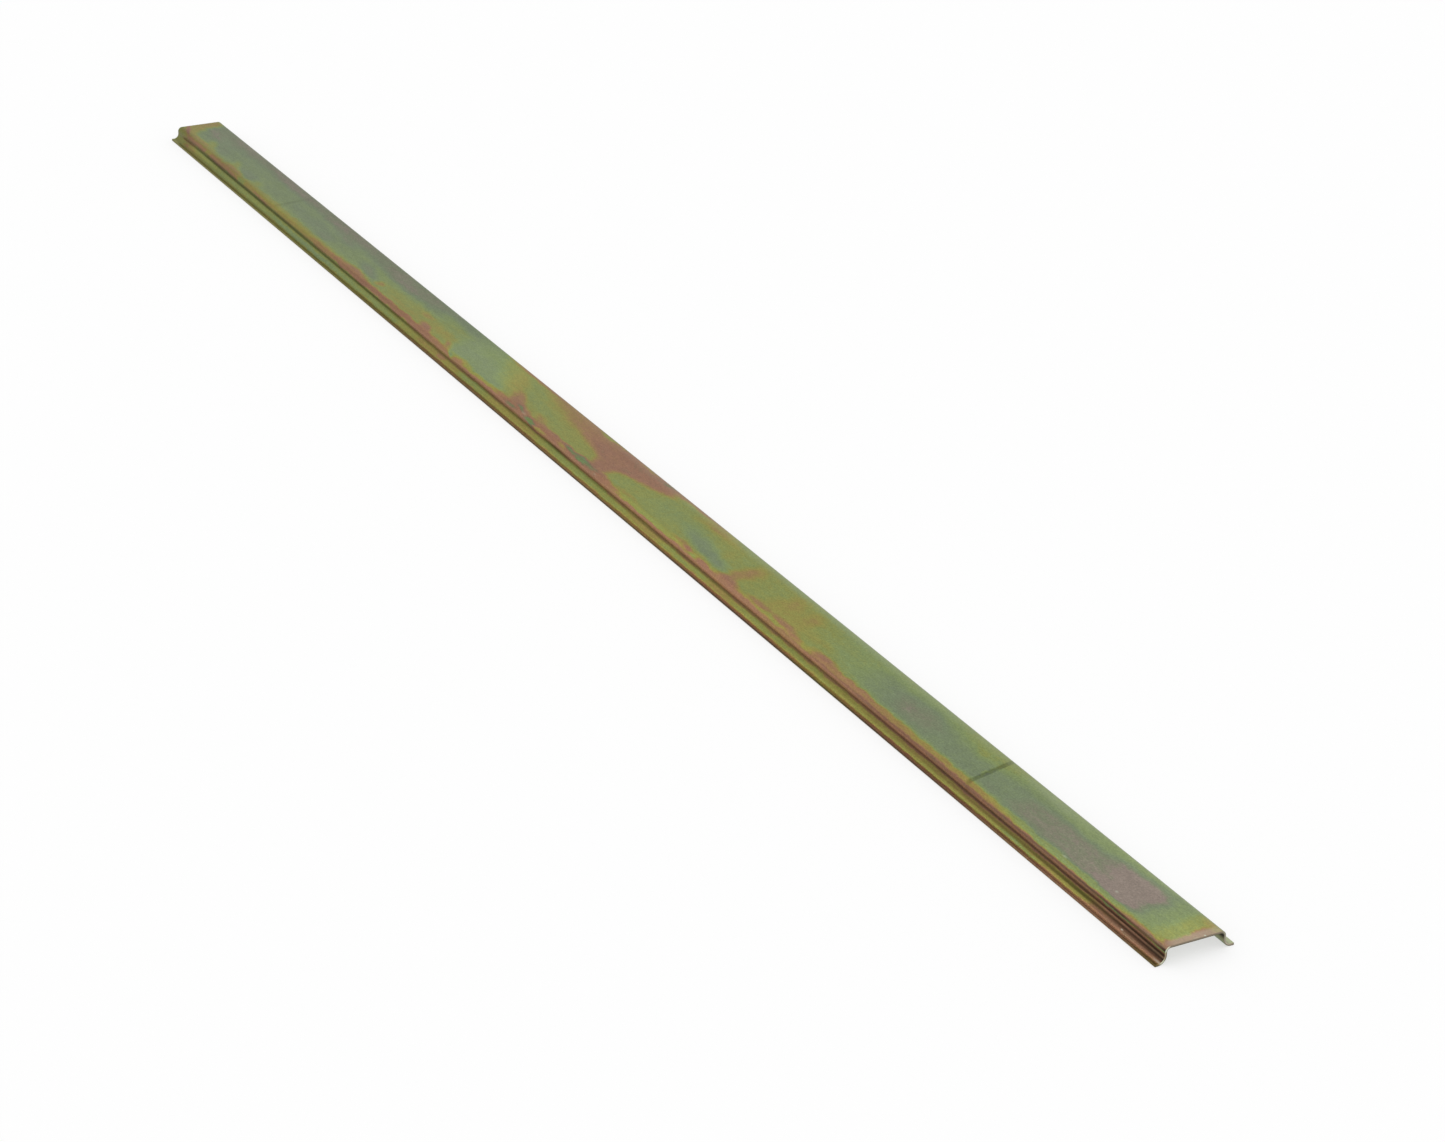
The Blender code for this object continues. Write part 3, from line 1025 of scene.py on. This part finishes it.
def add_rings(mesh, loop, distances):
    """Adds one ring of points at each station.

    Each point keeps its place across the flattened strip, its depth in it, 0 outside and 1
    inside, and how far it belongs to a sheared end.
    """
    across = mesh.verts.layers.float.new("across")
    depth = mesh.verts.layers.float.new("depth")
    cut = mesh.verts.layers.float.new("cut")
    rings = []
    for x, drawn_in in stations():
        section = inset_loop(loop, drawn_in) if drawn_in else loop
        ring = []
        for index, ((y, z), distance) in enumerate(zip(section, distances)):
            inner_face = index >= len(loop) // 2
            fall = 0.0 if inner_face else groove_depth(x, distance)
            vert = mesh.verts.new((x * MM, y * MM, (z - fall) * MM))
            vert[across] = distance
            vert[depth] = 1.0 if inner_face else 0.0
            vert[cut] = drawn_in / SHEARED_END
            ring.append(vert)
        rings.append(ring)
    return rings


def add_faces(mesh, rings):
    """Joins each ring to the next and closes the strip's two ends."""
    around = len(rings[0])
    for ring, following in zip(rings, rings[1:]):
        for index in range(around):
            after = (index + 1) % around
            mesh.faces.new((ring[index], following[index], following[after], ring[after]))
    for ring in (rings[0], rings[-1]):
        for index in range(around // 2 - 1):
            opposite = around - 1 - index
            mesh.faces.new((ring[index], ring[index + 1], ring[opposite - 1], ring[opposite]))


def strip_mesh():
    """The closed mesh of the whole strip."""
    pairs = section_pairs()
    outer = [pair[0] for pair in pairs]
    inner = [pair[1] for pair in pairs]
    distances = [math.copysign(abs(y) + RAIL_HEIGHT - z, y) for y, z in outer]
    mesh = bmesh.new()
    rings = add_rings(mesh, outer + inner[::-1], distances + distances[::-1])
    add_faces(mesh, rings)
    bmesh.ops.recalc_face_normals(mesh, faces=mesh.faces)
    data = bpy.data.meshes.new("plated_rail")
    mesh.to_mesh(data)
    mesh.free()
    data.shade_smooth()
    data.set_sharp_from_angle(angle=math.radians(SHARP_ANGLE))
    return data


def plated_rail(material):
    """The rail as one piece, which stands for the solid."""
    obj = bpy.data.objects.new("plated_rail", strip_mesh())
    bpy.context.scene.collection.objects.link(obj)
    obj.data.materials.append(material)
    return obj


def pale_floor():
    """A matt material that shows as white, to the camera and in what the metal reflects."""
    material = bpy.data.materials.new("pale_floor")
    material.use_nodes = True
    tree = material.node_tree
    shader = tree.nodes["Principled BSDF"]
    shader.inputs["Base Color"].default_value = FLOOR_COLOUR
    shader.inputs["Roughness"].default_value = 1.0
    shader.inputs["Specular IOR Level"].default_value = 0.0
    path = tree.nodes.new("ShaderNodeLightPath")
    seen = Field(tree, path.outputs["Is Camera Ray"])
    for kind in ("Is Glossy Ray", "Is Transmission Ray"):
        seen = seen.work("MAXIMUM", Field(tree, path.outputs[kind]))
    glow = tree.nodes.new("ShaderNodeEmission")
    glow.inputs["Strength"].default_value = 1.0
    mix = tree.nodes.new("ShaderNodeMixShader")
    connect(tree, mix.inputs[0], seen * FLOOR_GLOW)
    tree.links.new(shader.outputs[0], mix.inputs[1])
    tree.links.new(glow.outputs[0], mix.inputs[2])
    tree.links.new(mix.outputs[0], tree.nodes["Material Output"].inputs[0])
    return material


def floor():
    """A round floor under the flanges, level with their undersides."""
    mesh = bmesh.new()
    bmesh.ops.create_circle(mesh, cap_ends=True, segments=FLOOR_SEGMENTS, radius=FLOOR_RADIUS)
    data = bpy.data.meshes.new("floor")
    mesh.to_mesh(data)
    mesh.free()
    obj = bpy.data.objects.new("floor", data)
    bpy.context.scene.collection.objects.link(obj)
    obj.data.materials.append(pale_floor())
    return obj


def surround():
    """Plain white light from all sides."""
    world = bpy.data.worlds.new("surround")
    world.use_nodes = True
    background = world.node_tree.nodes["Background"]
    background.inputs["Color"].default_value = WHITE
    background.inputs["Strength"].default_value = 1.0
    bpy.context.scene.world = world


def camera():
    """The photograph's camera: aimed past the rail's middle and turned about its own axis."""
    azimuth = math.radians(CAMERA_AZIMUTH)
    elevation = math.radians(CAMERA_ELEVATION)
    back = Vector(
        (
            math.sin(azimuth) * math.cos(elevation),
            -math.cos(azimuth) * math.cos(elevation),
            math.sin(elevation),
        )
    )
    right = Vector((math.cos(azimuth), math.sin(azimuth), 0.0))
    up = back.cross(right)
    turn = Matrix.Rotation(math.radians(CAMERA_ROLL), 3, back)
    right = turn @ right
    up = turn @ up
    place = back * CAMERA_DISTANCE + right * CAMERA_RIGHT + up * CAMERA_UP

    data = bpy.data.cameras.new("camera")
    data.sensor_width = SENSOR_WIDTH
    data.lens = LENS
    obj = bpy.data.objects.new("camera", data)
    axes = Matrix((right, up, back)).transposed().to_4x4()
    obj.matrix_world = Matrix.Translation(place) @ axes
    bpy.context.scene.collection.objects.link(obj)
    bpy.context.scene.camera = obj


rail = plated_rail(plated_metal())
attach(rail, "root")
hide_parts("rail")
floor()
surround()
camera()
bpy.context.scene.view_settings.view_transform = "Standard"
